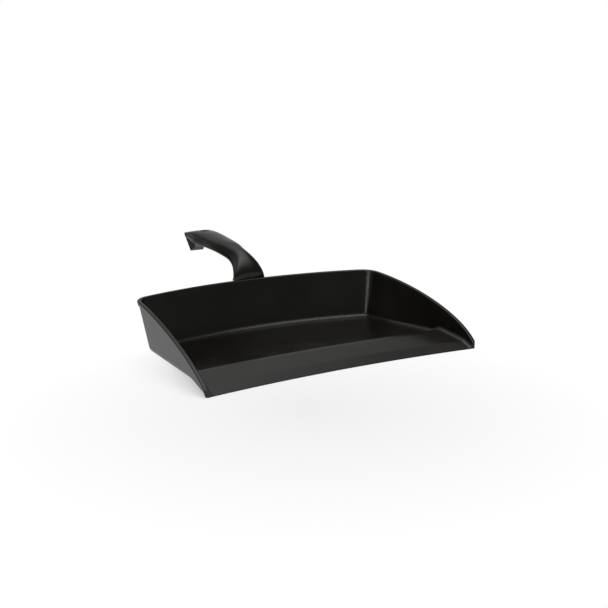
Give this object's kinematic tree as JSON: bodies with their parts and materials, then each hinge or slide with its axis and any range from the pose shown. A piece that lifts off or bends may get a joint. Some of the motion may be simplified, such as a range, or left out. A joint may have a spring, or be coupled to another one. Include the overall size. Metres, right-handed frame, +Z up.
{
  "type": "hand dustpan",
  "caption": "Wide open-fronted plastic dustpan with a thin sloped lip, a low dam behind it, leaning walls with a rolled rim, and an arched handle with a hanging hole.",
  "frame": {"origin": "middle of the footprint, on the ground the dustpan stands on", "axes": "+X across the mouth, +Y from the lip towards the handle, +Z up"},
  "size_m": [0.3298, 0.345, 0.0997],
  "materials": {
    "black_polypropylene": "fine moulded satin"
  },
  "bodies": {
    "root": {"pan": "black_polypropylene", "handle": "black_polypropylene"}
  },
  "joints": []
}
